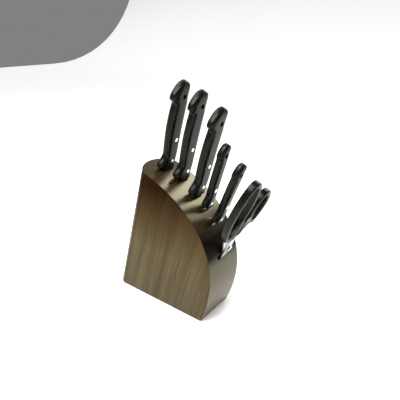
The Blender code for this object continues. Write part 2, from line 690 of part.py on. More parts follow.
# ---------------------------------------------------------------- everything together
def main():
    for old in list(bpy.data.objects):
        bpy.data.objects.remove(old)
    walnut = material("walnut", (0.16, 0.085, 0.045), 0.38)
    core_wood = material("core_wood", (0.30, 0.19, 0.11), 0.6)
    steel = material("blade_steel", (0.72, 0.72, 0.70), 0.25, 1.0)
    rivet_steel = material("rivet_steel", (0.80, 0.80, 0.76), 0.2, 1.0)
    plastic = material("handle_plastic", (0.012, 0.012, 0.010), 0.3)
    zinc = material("screw_zinc", (0.6, 0.6, 0.6), 0.35, 1.0)

    knife_places()
    shears = scissors_place()

    half = BLOCK_WIDTH / 2
    side_panel("side_panel_left", half, half - SIDE_THICKNESS, walnut)
    side_panel("side_panel_right", -half, -half + SIDE_THICKNESS, walnut)
    back_board(walnut)
    top = cover(walnut)

    slots = [
        {"lean": k["lean"], "origin": k["origin"], "thickness": SLOT_THICKNESS} for k in KNIVES
    ]
    slots.append({"lean": SCISSORS_LEAN, "origin": shears["origin"],
                  "thickness": SCISSORS_SLOT_THICKNESS})
    boards = core_boards(slots, core_wood)

    for knife, board in zip(KNIVES, boards):
        carrier = holder(knife["name"] + "_slide", knife["origin"], knife["y"], knife["lean"])
        handle(knife, carrier, plastic)
        blade(knife, carrier, steel)
        rivets(knife, carrier, rivet_steel)
        high = knife["blade_spine"] + SLOT_END_PLAY
        low = knife["blade_spine"] - knife["heel"] - SLOT_END_PLAY
        tool = slot_cutter(knife["name"] + "_slot", carrier, low, high, SLOT_THICKNESS,
                           knife["length"] + SLOT_BELOW_TIP, SLOT_RISE)
        cut(top, tool)
        cut(board, tool)

    carrier = scissors(shears, (steel, plastic))
    swing = sin(radians(SCISSORS_OPENING)) * (shears["depth"] + shears["pivot"])
    high = BLADE_HALF_WIDTH + SLOT_END_PLAY + SCISSORS_SLOT_THICKNESS / 2
    low = -high - SCISSORS_MOUTH_EXTRA
    mouth = slot_cutter("scissors_mouth", carrier, low, high, SCISSORS_SLOT_THICKNESS,
                        SLOT_RISE, SLOT_RISE)
    cut(top, mouth)
    groove = slot_cutter("scissors_groove", carrier, -swing - SCISSORS_SWING_PLAY, high,
                         SCISSORS_SLOT_THICKNESS, shears["depth"] + SLOT_BELOW_TIP, SLOT_RISE)
    cut(boards[len(KNIVES)], groove)

    feet = [on_level(point, up, 0.0).x for point, up, _ in board_faces(slots)]
    rows = {1: (feet[0] + feet[1]) / 2, len(boards) - 1: (feet[-1] + FOOT.x) / 2}
    screws = [(x, y) for x in rows.values() for y in (-SCREW_INSET, SCREW_INSET)]
    base_board(walnut, screws)
    for number, (x, y) in enumerate(screws, 1):
        made = new_object(f"base_screw_{number}", screw_shape(0.0, SCREW_LENGTH), zinc)
        made.location = (x, y, 0.0)
    for board_number, x in rows.items():
        for number, (sx, sy) in enumerate(screws, 1):
            if sx == x:
                cut(boards[board_number], bpy.data.objects[f"cut_base_screw_{number}"])


main()
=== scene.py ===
# %% [markdown]
# # A knife block with five knives and a pair of kitchen scissors
#
# The block is a slanted walnut body: two side panels, a rounded back, a thin panel bent over the
# top and front, and a base. The knives stand in slots in the bent panel and lean forwards with
# the block. We load the measured frame, keep its box, and then build each visible piece on it.

# %% Load the frame
import json
from math import atan2, cos, radians, sin, tan

import bmesh
import bpy
from mathutils import Matrix, Vector


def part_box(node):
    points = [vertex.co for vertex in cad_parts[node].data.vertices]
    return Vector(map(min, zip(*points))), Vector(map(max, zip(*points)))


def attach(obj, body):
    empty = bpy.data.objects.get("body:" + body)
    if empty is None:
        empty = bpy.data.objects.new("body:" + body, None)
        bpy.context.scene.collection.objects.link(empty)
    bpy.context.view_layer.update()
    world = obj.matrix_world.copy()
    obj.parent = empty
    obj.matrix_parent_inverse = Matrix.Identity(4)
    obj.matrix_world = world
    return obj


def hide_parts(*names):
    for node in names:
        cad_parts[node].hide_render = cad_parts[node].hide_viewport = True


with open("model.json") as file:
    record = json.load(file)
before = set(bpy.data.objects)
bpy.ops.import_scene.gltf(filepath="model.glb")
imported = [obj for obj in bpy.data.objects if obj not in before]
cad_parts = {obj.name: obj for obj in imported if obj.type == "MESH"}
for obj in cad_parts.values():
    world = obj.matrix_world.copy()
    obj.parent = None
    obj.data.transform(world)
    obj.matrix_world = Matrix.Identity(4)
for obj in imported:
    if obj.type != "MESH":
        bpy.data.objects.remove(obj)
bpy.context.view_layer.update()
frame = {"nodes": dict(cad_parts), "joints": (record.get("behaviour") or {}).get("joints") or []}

nodes = frame["nodes"]
print("CAD nodes:", len(nodes))

# %% [markdown]
# The block's shape is a few numbers. The sizes come from the boxes of the CAD nodes. The lean of
# the rear edge and the pull of the two ends of the top curve are the numbers that the frame was
# drawn with.

# %% Sizes of the block
HALF_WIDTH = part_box("side_panel_left")[1].y
REAR_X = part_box("side_panel_right")[0].x
FOOT_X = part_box("base_board")[1].x
BACK_LEAN = radians(16.6)
CROWN_SLOPE = radians(16.6)
CORNER_HEIGHT = 0.202
CROWN_PULL, FOOT_PULL = 0.022, 0.160
FOOT_ANGLE = radians(66.5)
COVER_THICKNESS = 0.002
GAP = 0.0003
BASE_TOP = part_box("base_board")[1].z
NOSE_DEPTH = REAR_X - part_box("back_board")[0].x

corner = Vector((REAR_X + CORNER_HEIGHT * tan(BACK_LEAN), CORNER_HEIGHT))
foot = Vector((FOOT_X, 0.0))
crown_way = Vector((cos(CROWN_SLOPE), -sin(CROWN_SLOPE)))
foot_way = Vector((cos(FOOT_ANGLE), sin(FOOT_ANGLE)))
print(f"block {FOOT_X - REAR_X:.3f} m deep, {2 * HALF_WIDTH:.3f} m wide")

# %% [markdown]
# The camera stands in front and to the right of the block, a little above it. It is set before
# anything else, so that every look at the work is from the same place.

# %% Camera
bpy.ops.object.select_all(action="DESELECT")
bpy.ops.object.camera_add(
    location=(0.34558, -0.3879, 0.37982),
    rotation=(radians(66.54), 0.0, radians(37.06)),
)
camera = bpy.context.object
camera.name = "camera"
camera.data.lens = 35.52
camera.data.sensor_width = 36.0
camera.data.clip_start = 0.01
bpy.context.scene.camera = camera
print("camera lens", round(camera.data.lens, 2))

# %% [markdown]
# The block stands on a white sweep, as in a studio: a flat floor that curves up into a wall. A
# plain plane would show its far edge as a line. So we extrude the rear edge of a plane upwards
# and round the fold with a bevel.

# %% Studio sweep
def only(piece):
    """Make one object the selected and active one."""
    bpy.ops.object.select_all(action="DESELECT")
    piece.select_set(True)
    bpy.context.view_layer.objects.active = piece


def choose(piece, kind, test):
    """In edit mode, select the vertices, edges or faces whose middle (and normal) pass a test."""
    bpy.ops.mesh.select_mode(type=kind)
    bpy.ops.mesh.select_all(action="DESELECT")
    bm = bmesh.from_edit_mesh(piece.data)
    chosen = 0
    if kind == "FACE":
        for face in bm.faces:
            if test(face.calc_center_median(), face.normal):
                face.select_set(True)
                chosen += 1
    elif kind == "EDGE":
        for edge in bm.edges:
            if test(edge.verts[0].co, edge.verts[1].co):
                edge.select_set(True)
                chosen += 1
    else:
        for vert in bm.verts:
            if test(vert.co):
                vert.select_set(True)
                chosen += 1
    bm.select_flush_mode()
    bmesh.update_edit_mesh(piece.data)
    return chosen


def material(name, slots):
    """A new material: its node tree and its shader, with plain numbers set on the shader."""
    made = bpy.data.materials.new(name)
    made.use_nodes = True
    shader = made.node_tree.nodes["Principled BSDF"]
    for socket, value in slots.items():
        shader.inputs[socket].default_value = value
    return made, made.node_tree, shader


bpy.ops.object.select_all(action="DESELECT")
bpy.ops.mesh.primitive_plane_add(size=8.0, location=(0.0, 0.0, 0.0))
sweep = bpy.context.object
sweep.name = "studio_sweep"
bpy.ops.object.mode_set(mode="EDIT")
choose(sweep, "EDGE", lambda a, b: a.y > 3.9 and b.y > 3.9)
bpy.ops.mesh.extrude_region_move(TRANSFORM_OT_translate={"value": (0.0, 0.0, 4.0)})
choose(sweep, "EDGE", lambda a, b: a.y > 3.9 and b.y > 3.9 and a.z < 0.1 and b.z < 0.1)
bpy.ops.mesh.bevel(offset=1.5, segments=16, affect="EDGES")
bpy.ops.object.mode_set(mode="OBJECT")
bpy.ops.object.shade_smooth()
paper, _, _ = material("paper_white", {
    "Base Color": (0.93, 0.93, 0.93, 1), "Roughness": 0.8,
    "Emission Color": (1.0, 1.0, 1.0, 1.0), "Emission Strength": 0.12})
sweep.data.materials.append(paper)
print("sweep faces:", len(sweep.data.polygons))

# %% [markdown]
# The black handles show little but reflections, so the room is kept dim and the light comes
# from a few large lamps. A very broad sun whitens the floor evenly. A lamp behind the block is
# mirrored in the lacquer of the bent top, and one above it draws the highlights on the handles.

# %% Lights
def soft_box(name, place, aim, size, power):
    """A square area lamp at a place, turned towards a point."""
    bpy.ops.object.select_all(action="DESELECT")
    bpy.ops.object.light_add(type="AREA", location=place)
    lamp = bpy.context.object
    lamp.name = name
    lamp.data.size = size
    lamp.data.energy = power
    lamp.rotation_euler = (Vector(aim) - Vector(place)).to_track_quat("-Z", "Y").to_euler()
    return lamp


MIDDLE = (0.03, 0.0, 0.16)
bpy.ops.object.select_all(action="DESELECT")
bpy.ops.object.light_add(type="SUN", location=(-0.5, -0.5, 1.0))
sun = bpy.context.object
sun.name = "broad_sun"
sun.data.energy = 2.2
sun.data.angle = radians(38.0)
sun.rotation_euler = Vector((0.62, 0.22, -0.95)).to_track_quat("-Z", "Y").to_euler()
soft_box("back_lamp", (0.22, 0.95, 0.95), MIDDLE, 0.8, 15.0)
soft_box("top_lamp", (0.02, -0.62, 1.06), MIDDLE, 0.5, 14.0)

world = bpy.data.worlds.new("studio")
world.use_nodes = True
world.node_tree.nodes["Background"].inputs["Color"].default_value = (1.0, 1.0, 1.0, 1.0)
world.node_tree.nodes["Background"].inputs["Strength"].default_value = 0.22
bpy.context.scene.world = world
bpy.context.scene.view_settings.view_transform = "Standard"

# %% [markdown]
# ## Wood
#
# The walnut has a satin lacquer. Its grain is straight. Four layers of noise, stretched along
# the grain, make it: broad bands, narrow streaks, fine fibres, and short dark pores. The piece's
# own Object coordinates are turned so that the grain follows the board. A ramp over the height
# paints light and shade into the colour. On the side boards it is a painted reflection of the
# white floor, olive grey at the foot, and painted shade, dark red brown at the top.

# %% Wood finish
def node(tree, kind, **inputs):
    """Add a node, set its plain inputs by name."""
    made = tree.nodes.new(kind)
    for name, value in inputs.items():
        made.inputs[name].default_value = value
    return made


def ramp(tree, factor, stops):
    """A colour ramp fed by a factor; stops are (position, (r, g, b))."""
    made = tree.nodes.new("ShaderNodeValToRGB")
    tree.links.new(factor, made.inputs["Fac"])
    band = made.color_ramp
    while len(band.elements) < len(stops):
        band.elements.new(0.5)
    for element, (place, colour) in zip(band.elements, stops):
        element.position = place
        element.color = (*colour, 1.0)
    return made.outputs["Color"]


def stretched_noise(tree, source, turn, scale, detail, roughness=0.55, distortion=0.0):
    """Noise on coordinates that are turned, then scaled on each axis."""
    turned = node(tree, "ShaderNodeMapping", Rotation=turn)
    tree.links.new(source, turned.inputs["Vector"])
    squeezed = node(tree, "ShaderNodeMapping", Scale=scale)
    tree.links.new(turned.outputs["Vector"], squeezed.inputs["Vector"])
    noise = node(tree, "ShaderNodeTexNoise", Scale=1.0, Detail=detail, Roughness=roughness,
                 Distortion=distortion)
    tree.links.new(squeezed.outputs["Vector"], noise.inputs["Vector"])
    return noise.outputs["Fac"]


def mixed(tree, factor, a, b, blend="MIX"):
    """Mix two colours; each argument is a socket or a plain value."""
    made = tree.nodes.new("ShaderNodeMix")
    made.data_type = "RGBA"
    made.blend_type = blend
    for index, value in ((0, factor), (6, a), (7, b)):
        if isinstance(value, bpy.types.NodeSocket):
            tree.links.new(value, made.inputs[index])
        elif index == 0:
            made.inputs[index].default_value = value
        else:
            made.inputs[index].default_value = (*value, 1.0)
    return made.outputs[2]


def spread(tree, value, low, high, to_low, to_high):
    """Map a value from one range to another."""
    made = node(tree, "ShaderNodeMapRange")
    for index, number in ((1, low), (2, high), (3, to_low), (4, to_high)):
        made.inputs[index].default_value = number
    tree.links.new(value, made.inputs[0])
    return made.outputs[0]


def bump(tree, shader, height, strength, distance):
    made = node(tree, "ShaderNodeBump", Strength=strength, Distance=distance)
    tree.links.new(height, made.inputs["Height"])
    tree.links.new(made.outputs["Normal"], shader.inputs["Normal"])


PAINTED_LIGHT_TOP = 0.2


def wood(name, turn, along, bands, roughness, gloss, mapped="Object", painted_light_stops=None):
    """Lacquered wood. turn lays the grain along axis `along`; bands are the ramp's stops.

    The last argument holds the stops of a second ramp over the height, from the ground up to a
    set height. This ramp paints light and shade into the colour, and where it paints shade the
    wood is duller too.
    """
    made, tree, shader = material(name, {
        "Specular IOR Level": gloss, "Specular Tint": (1.0, 0.90, 0.50, 1.0)})
    place = tree.nodes.new("ShaderNodeTexCoord").outputs[mapped]

    def scale(across, length):
        return tuple(length if axis == along else across for axis in range(3))

    broad = stretched_noise(tree, place, turn, scale(62.0, 3.2), 4.0, 0.55, 0.35)
    streak = stretched_noise(tree, place, turn, scale(420.0, 9.0), 5.0, 0.62, 0.15)
    fibre = stretched_noise(tree, place, turn, scale(2400.0, 55.0), 3.0)
    pore = stretched_noise(tree, place, turn, scale(1700.0, 110.0), 2.0, 0.5)
    figure = mixed(tree, 0.45, broad, streak)
    colour = ramp(tree, figure, bands)
    fibres = ramp(tree, fibre, [(0.35, (0.80, 0.80, 0.80)), (0.70, (1.10, 1.10, 1.10))])
    colour = mixed(tree, 0.65, colour, fibres, "MULTIPLY")
    pores = ramp(tree, pore, [(0.30, (0.42, 0.36, 0.32)), (0.40, (1.0, 1.0, 1.0))])
    colour = mixed(tree, 0.75, colour, pores, "MULTIPLY")
    # Painted light and shade: a ramp over the height multiplies the colour, and lowers the gloss
    # where it paints shade.
    if painted_light_stops:
        split = tree.nodes.new("ShaderNodeSeparateXYZ")
        solid_place = tree.nodes.new("ShaderNodeTexCoord").outputs["Object"]
        tree.links.new(solid_place, split.inputs["Vector"])
        level = spread(tree, split.outputs["Z"], 0.0, PAINTED_LIGHT_TOP, 0.0, 1.0)
        tone = ramp(tree, level, painted_light_stops)
        colour = mixed(tree, 1.0, colour, tone, "MULTIPLY")
        shine = spread(tree, tone, 0.1, 0.5, 0.08 * gloss, gloss)
        tree.links.new(shine, shader.inputs["Specular IOR Level"])
    tree.links.new(colour, shader.inputs["Base Color"])
    rough = spread(tree, streak, 0.3, 0.7, *roughness)
    tree.links.new(rough, shader.inputs["Roughness"])
    relief = mixed(tree, 0.5, fibre, pores)
    bump(tree, shader, relief, 0.18, 0.0002)
    return made


WALNUT_BANDS = [
    (0.30, (0.046, 0.029, 0.012)), (0.44, (0.074, 0.051, 0.023)),
    (0.56, (0.102, 0.076, 0.036)), (0.72, (0.142, 0.112, 0.058)),
]
# Painted light and shade for the side panels and the back: paler and greyer low down as a painted
# reflection of the white floor, darker and redder towards the top as painted shade.
WALNUT_PAINTED_LIGHT = [
    (0.10, (1.10, 1.20, 1.38)), (0.42, (1.10, 1.14, 1.12)),
    (0.68, (0.62, 0.47, 0.30)), (0.92, (0.22, 0.11, 0.04)),
]
side_walnut = wood("side_walnut", (0.0, -BACK_LEAN, 0.0), 2, WALNUT_BANDS, (0.40, 0.52), 0.07,
                   painted_light_stops=WALNUT_PAINTED_LIGHT)
COVER_BANDS = [
    (0.30, (0.014, 0.010, 0.004)), (0.46, (0.026, 0.019, 0.008)),
    (0.60, (0.038, 0.029, 0.013)), (0.75, (0.052, 0.042, 0.019)),
]
# Painted light and shade for the bent top: bright low on the front as a painted reflection of the
# white floor, and a dark band at the scissors' height as a painted shadow and reflection of the
# scissors and handles.
COVER_PAINTED_LIGHT = [
    (0.20, (2.10, 2.10, 1.60)), (0.44, (0.55, 0.55, 0.45)), (0.52, (0.08, 0.08, 0.07)),
    (0.62, (0.06, 0.06, 0.05)), (0.72, (0.60, 0.58, 0.50)), (0.96, (0.95, 0.80, 0.55)),
]
cover_walnut = wood("cover_walnut", (0.0, 0.0, 0.0), 0, COVER_BANDS, (0.20, 0.30), 0.62, "UV",
                    painted_light_stops=COVER_PAINTED_LIGHT)
CORE_BANDS = [
    (0.30, (0.150, 0.090, 0.050)), (0.50, (0.230, 0.145, 0.085)),
    (0.65, (0.290, 0.195, 0.120)), (0.80, (0.340, 0.240, 0.155)),
]
core_wood = wood("core_wood", (0.0, -BACK_LEAN, 0.0), 2, CORE_BANDS, (0.55, 0.70), 0.3)
print("wood finishes:", side_walnut.name, cover_walnut.name, core_wood.name)

# %% [markdown]
# ## The block's flat boards
#
# A side panel is a flat board with a curved front edge. The CAD board already has the right
# outline, so a copy of it is merged, freed of the lines inside its flat faces, and given the
# small rounding that sanding leaves along each edge.

# %% Side panels and base
def shape_with(piece, kind, **settings):
    """Add a modifier with these settings and apply it."""
    only(piece)
    added = piece.modifiers.new("step", kind)
    for name, value in settings.items():
        setattr(added, name, value)
    bpy.ops.object.modifier_apply(modifier=added.name)


def cad_copy(node_name, name):
    """A copy of a CAD node as one closed mesh with clean flat faces."""
    source = nodes[node_name]
    made = bpy.data.objects.new(name, source.data.copy())
    bpy.context.scene.collection.objects.link(made)
    made.data.materials.clear()
    only(made)
    bpy.ops.object.mode_set(mode="EDIT")
    bpy.ops.mesh.select_all(action="SELECT")
    bpy.ops.mesh.remove_doubles(threshold=0.000005)
    bpy.ops.mesh.dissolve_limited(angle_limit=radians(0.5))
    bpy.ops.object.mode_set(mode="OBJECT")
    return made


def softened(piece, width, segments=3, angle=35.0):
    """Round every edge sharper than an angle, and shade the rest smooth."""
    shape_with(piece, "BEVEL", width=width, segments=segments, limit_method="ANGLE",
               angle_limit=radians(angle), miter_outer="MITER_ARC", harden_normals=False)
    only(piece)
    bpy.ops.object.shade_smooth_by_angle(angle=radians(angle))
    shape_with(piece, "WEIGHTED_NORMAL", keep_sharp=True)


def finish(piece, body, look, slot, *replaced):
    """Give a piece its material, its body and the CAD nodes that it stands for. Its slot argument
    is not used.
    """
    only(piece)
    bpy.ops.object.transform_apply(location=True, rotation=True, scale=True)
    piece.data.materials.clear()
    piece.data.materials.append(look)
    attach(piece, body)
    if replaced:
        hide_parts(*replaced)
    print(f"{piece.name}: {len(piece.data.polygons)} faces")


for side in ("left", "right"):
    panel = cad_copy(f"side_panel_{side}", f"walnut_side_{side}")
    softened(panel, 0.0007)
    finish(panel, "block", side_walnut, "walnut", f"side_panel_{side}")

# %% [markdown]
# ## The rounded back and the base
#
# The back is a solid board shaped to an arc. It starts as an upright cylinder. Moving its top
# ring forwards leans it without turning its flat end, and two cuts leave the slice that shows
# behind the side panels: one along the panels' rear edge, and one under the bent top.

# %% Rounded back
NOSE_RADIUS = (HALF_WIDTH ** 2 + NOSE_DEPTH ** 2) / (2 * NOSE_DEPTH)
NOSE_X = REAR_X - NOSE_DEPTH + NOSE_RADIUS


def leaning_column(name, low, high, stretch=0.0):
    """A column with the back's arc from low to high, leaning as the block does."""
    bpy.ops.object.select_all(action="DESELECT")
    bpy.ops.mesh.primitive_cylinder_add(
        vertices=160, radius=NOSE_RADIUS, depth=high - low,
        location=(NOSE_X, 0.0, (low + high) / 2),
    )
    made = bpy.context.object
    made.name = name
    bpy.ops.object.transform_apply(location=True, rotation=True, scale=True)
    bpy.ops.object.mode_set(mode="EDIT")
    choose(made, "VERT", lambda p: p.x > NOSE_X + 0.0001)
    bpy.ops.transform.translate(value=(stretch, 0.0, 0.0))
    choose(made, "VERT", lambda p: p.z > low + 0.001)
    bpy.ops.transform.translate(value=(high * tan(BACK_LEAN), 0.0, 0.0))
    choose(made, "VERT", lambda p: p.z < low + 0.001)
    bpy.ops.transform.translate(value=(low * tan(BACK_LEAN), 0.0, 0.0))
    bpy.ops.object.mode_set(mode="OBJECT")
    return made


def sliced(piece, point, normal):
    """Cut off what lies on the normal's side of a plane, and close the cut."""
    only(piece)
    bpy.ops.object.mode_set(mode="EDIT")
    bpy.ops.mesh.select_all(action="SELECT")
    bpy.ops.mesh.bisect(plane_co=point, plane_no=normal, use_fill=True, clear_outer=True)
    bpy.ops.object.mode_set(mode="OBJECT")


back = leaning_column("walnut_back", 0.0, 0.25)
sliced(back, (REAR_X - GAP, 0.0, 0.0), (cos(BACK_LEAN), 0.0, -sin(BACK_LEAN)))
under_cover = corner.y - (COVER_THICKNESS + GAP) / cos(CROWN_SLOPE)
sliced(back, (corner.x, 0.0, under_cover), (sin(CROWN_SLOPE), 0.0, cos(CROWN_SLOPE)))
softened(back, 0.0006)
finish(back, "block", side_walnut, "walnut", "back_board")

base = cad_copy("base_board", "walnut_base")
softened(base, 0.0004, 2)
finish(base, "block", core_wood, "walnut", "base_board")

# %% [markdown]
# ## The bent top and front
#
# One thin panel is bent over the top and down the front. A Bezier curve with a handle at each
# end draws it exactly: the curve is swept across the block, given its thickness inwards, trimmed
# to the rounded back, and cut with a slot for every blade.

# %% Bent panel
def profile_point(point):
    """A point of the block's side profile in the plane that the curve is drawn in."""
    return (point.x, point.y, 0.0)


bpy.ops.object.select_all(action="DESELECT")
bpy.ops.curve.primitive_bezier_curve_add(location=(0.0, 0.0, 0.0))
bent = bpy.context.object
bent.name = "walnut_cover"
bent.data.dimensions = "2D"
bent.data.fill_mode = "NONE"
bent.data.resolution_u = 72
spline = bent.data.splines[0]
spline.bezier_points.add(1)
rear_end = corner - 0.05 * crown_way
foot_end = foot - 0.004 * foot_way
knots = [
    (rear_end, rear_end - 0.01 * crown_way, rear_end + 0.01 * crown_way),
    (corner, corner - 0.01 * crown_way, corner + CROWN_PULL * crown_way),
    (foot, foot + FOOT_PULL * foot_way, foot_end),
]
for knot, (here, before, after) in zip(spline.bezier_points, knots):
    knot.handle_left_type = knot.handle_right_type = "FREE"
    knot.co = profile_point(here)
    knot.handle_left = profile_point(before)
    knot.handle_right = profile_point(after)
bent.data.extrude = HALF_WIDTH
bent.rotation_euler = (radians(90.0), 0.0, 0.0)
bpy.ops.object.convert(target="MESH")
bpy.ops.object.transform_apply(location=True, rotation=True, scale=True)
bpy.ops.object.mode_set(mode="EDIT")
bpy.ops.mesh.select_all(action="SELECT")
bpy.ops.mesh.remove_doubles(threshold=0.00001)
bpy.ops.mesh.normals_make_consistent(inside=False)
bpy.ops.object.mode_set(mode="OBJECT")
upward = sum(face.normal.z * face.area for face in bent.data.polygons)
shape_with(bent, "SOLIDIFY", thickness=COVER_THICKNESS, offset=-1.0 if upward > 0 else 1.0,
           use_even_offset=True)
only(bent)
bpy.ops.object.mode_set(mode="EDIT")
bpy.ops.mesh.select_all(action="SELECT")
bpy.ops.mesh.normals_make_consistent(inside=False)
bpy.ops.object.mode_set(mode="OBJECT")
sliced(bent, (0.0, 0.0, BASE_TOP + GAP), (0.0, 0.0, -1.0))
block_outline = leaning_column("block_outline", -0.05, 0.35, 0.4)
shape_with(bent, "BOOLEAN", operation="INTERSECT", object=block_outline, solver="EXACT")
bpy.data.objects.remove(block_outline)
print("bent panel:", len(bent.data.polygons), "faces")

# %% [markdown]
# Each blade's slot is a little wider and longer than the blade, with round ends. The joint of
# each knife says which way it is drawn, and its blade's box says how far the slot reaches across
# the block. One stadium-shaped punch is made for each slot and taken out of the bent panel.

# %% Slots
KNIVES = ("bread_knife", "chef_knife", "carving_knife", "utility_knife", "paring_knife")
draw = {j["child"]: Vector(j["axis"]) for j in frame["joints"] if j["type"] == "slide"}
lean = {name: atan2(way.x, way.z) for name, way in draw.items()}


def knife_frame(name):
    """Where a knife's handle ends on its rivet line, and how it is turned."""
    low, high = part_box(f"{name}_rivet_1")
    origin = (low + high) / 2 - draw[name] * sizes[name]["rivets"][0]
    return Matrix.Translation(origin) @ Matrix.Rotation(lean[name], 4, "Y")


LARGE = {"length": 0.1250, "thickness": 0.0126, "guard": -0.0222, "throat": -0.0118,
         "swell": -0.0155, "neck": -0.0124, "beak": -0.0195, "spine": 0.0112,
         "rivets": (0.0118, 0.0446), "hole": 0.1053, "radius": 0.0058}
SMALL = {"length": 0.0950, "thickness": 0.0112, "guard": -0.0134, "throat": -0.0068,
         "swell": -0.0085, "neck": -0.0080, "beak": -0.0106, "spine": 0.0090,
         "rivets": (0.0062, 0.0277), "hole": 0.0802, "radius": 0.0051}
size_of = dict(zip(KNIVES, ("large", "large", "large", "small", "small")))
sizes = {name: {"large": LARGE, "small": SMALL}[size_of[name]] for name in KNIVES}
SLOT_PLAY = 0.0004
SLOT_END_PLAY = 0.0015
BLADE_THICKNESS = 0.002


def slot_punch(name, place, low_y, high_y, thickness):
    """A long block with round ends, standing in the slot, from below the panel to above it."""
    bpy.ops.object.select_all(action="DESELECT")
    bpy.ops.mesh.primitive_cylinder_add(vertices=24, radius=thickness / 2, depth=0.06)
    made = bpy.context.object
    made.name = name
    bpy.ops.object.mode_set(mode="EDIT")
    reach = (high_y - low_y - thickness) / 2
    choose(made, "VERT", lambda p: p.y > 0.00001)
    bpy.ops.transform.translate(value=(0.0, reach, 0.0))
    choose(made, "VERT", lambda p: p.y < -0.00001)
    bpy.ops.transform.translate(value=(0.0, -reach, 0.0))
    bpy.ops.object.mode_set(mode="OBJECT")
    made.matrix_world = place @ Matrix.Translation((0.0, (low_y + high_y) / 2, 0.0))
    return made


def punched(piece, punch):
    shape_with(piece, "BOOLEAN", operation="DIFFERENCE", object=punch, solver="EXACT")
    bpy.data.objects.remove(punch)


blade_span = {}
for name in KNIVES:
    place = knife_frame(name)
    low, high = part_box(f"{name}_blade")
    blade_span[name] = (low.y - place.translation.y, high.y - place.translation.y)
    punched(bent, slot_punch(f"{name}_punch", place, blade_span[name][0] - SLOT_END_PLAY,
                             blade_span[name][1] + SLOT_END_PLAY,
                             BLADE_THICKNESS + 2 * SLOT_PLAY))

hinge = next(j for j in frame["joints"] if j["name"] == "scissors_open")
pivot = Vector(hinge["pos_m"])
scissors_place = Matrix.Translation(pivot) @ Matrix.Rotation(lean["scissors"], 4, "Y")
STEEL = 0.0022
SCISSORS_SLOT = 2 * STEEL + GAP + 2 * SLOT_PLAY
BLADE_HALF_WIDTH = 0.0095
SCISSORS_REACH = BLADE_HALF_WIDTH + SLOT_END_PLAY + 0.0026
SWING_ROOM = 0.004
punched(bent, slot_punch("scissors_punch", scissors_place, -SCISSORS_REACH - SWING_ROOM,
                         SCISSORS_REACH, SCISSORS_SLOT))
softened(bent, 0.0003, 2, 40.0)

# %% Grain map of the bent panel
PROFILE_STEPS = 240


def on_profile(t):
    """A point of the top curve in XZ, from the rear corner (0) to the foot (1)."""
    crown_knob = corner + CROWN_PULL * crown_way
    foot_knob = foot + FOOT_PULL * foot_way
    return ((1 - t) ** 3 * corner + 3 * t * (1 - t) ** 2 * crown_knob
            + 3 * t ** 2 * (1 - t) * foot_knob + t ** 3 * foot)


profile = [on_profile(i / PROFILE_STEPS) for i in range(PROFILE_STEPS + 1)]
travelled = [0.0]
for before, after in zip(profile, profile[1:]):
    travelled.append(travelled[-1] + (after - before).length)


def distance_along(point):
    """How far along the bend a point lies; behind the corner it counts backwards."""
    here = Vector((point.x, point.z))
    behind = (here - corner).dot(crown_way)
    if behind < 0:
        return behind
    nearest = min(range(len(profile)), key=lambda i: (profile[i] - here).length_squared)
    return travelled[nearest]


grain = bent.data.uv_layers.new(name="grain")
reach_of = {v.index: distance_along(v.co) for v in bent.data.vertices}
for corner_loop in bent.data.loops:
    spot = bent.data.vertices[corner_loop.vertex_index]
    grain.data[corner_loop.index].uv = (reach_of[spot.index], spot.co.y)
print(f"the bend is {travelled[-1]:.3f} m long")
finish(bent, "block", cover_walnut, "walnut", "cover")
bent.data.materials.append(side_walnut)
bent.active_material_index = 1
bpy.ops.object.mode_set(mode="EDIT")
rim = choose(bent, "FACE", lambda middle, normal: (
    abs(normal.y) > 0.6 and abs(middle.y) > HALF_WIDTH - 0.003
    or middle.x < corner.x and abs(normal.z) < 0.5))
bpy.ops.object.material_slot_assign()
bpy.ops.object.mode_set(mode="OBJECT")
print("rim faces in the sides' walnut:", rim)

# %% Core boards
for name, board in nodes.items():
    if name.startswith("core_board"):
        board.data.materials.clear()
        board.data.materials.append(core_wood)
print("core boards carry", core_wood.name)

# %% [markdown]
# ## Black moulded handles
#
# The handles are moulded in a hard black plastic with a satin skin. The plastic is nearly black,
# and what one sees is its gloss, so roughness and a very fine orange-peel do the work. A trace
# of dust lightens it here and there.

# %% Black plastic
def moulded_plastic(name, colour, rough):
    made, tree, shader = material(name, {
        "Specular IOR Level": 0.16, "IOR": 1.49, "Specular Tint": (0.97, 1.0, 0.80, 1.0)})
    place = tree.nodes.new("ShaderNodeTexCoord").outputs["Object"]
    cloud = stretched_noise(tree, place, (0.0, 0.0, 0.0), (55.0, 55.0, 55.0), 3.0)
    skin = stretched_noise(tree, place, (0.0, 0.0, 0.0), (1900.0, 1900.0, 1900.0), 2.0)
    dull = tuple(c * 1.9 + 0.002 for c in colour)
    tone = spread(tree, cloud, 0.35, 0.75, 0.0, 1.0)
    tree.links.new(mixed(tree, tone, colour, dull), shader.inputs["Base Color"])
    tree.links.new(spread(tree, cloud, 0.3, 0.7, *rough), shader.inputs["Roughness"])
    bump(tree, shader, skin, 0.10, 0.00008)
    return made


handle_black = moulded_plastic("handle_black", (0.0030, 0.0033, 0.0022), (0.22, 0.31))
print("plastic:", handle_black.name)

# %% [markdown]
# Blades and rivets are steel. Grinding leaves fine lines, so the roughness and a faint bump run
# in stretched noise across the blade. The rivets are polished brighter.

# %% Steel
def steel(name, colour, rough, scale, strength):
    made, tree, shader = material(name, {"Metallic": 1.0})
    place = tree.nodes.new("ShaderNodeTexCoord").outputs["Object"]
    lines = stretched_noise(tree, place, (0.0, 0.0, 0.0), scale, 3.0)
    cloud = stretched_noise(tree, place, (0.0, 0.0, 0.0), (40.0, 40.0, 40.0), 2.0)
    darker = tuple(0.86 * c for c in colour)
    tree.links.new(mixed(tree, cloud, darker, colour), shader.inputs["Base Color"])
    tree.links.new(spread(tree, lines, 0.3, 0.7, *rough), shader.inputs["Roughness"])
    bump(tree, shader, lines, strength, 0.00005)
    return made


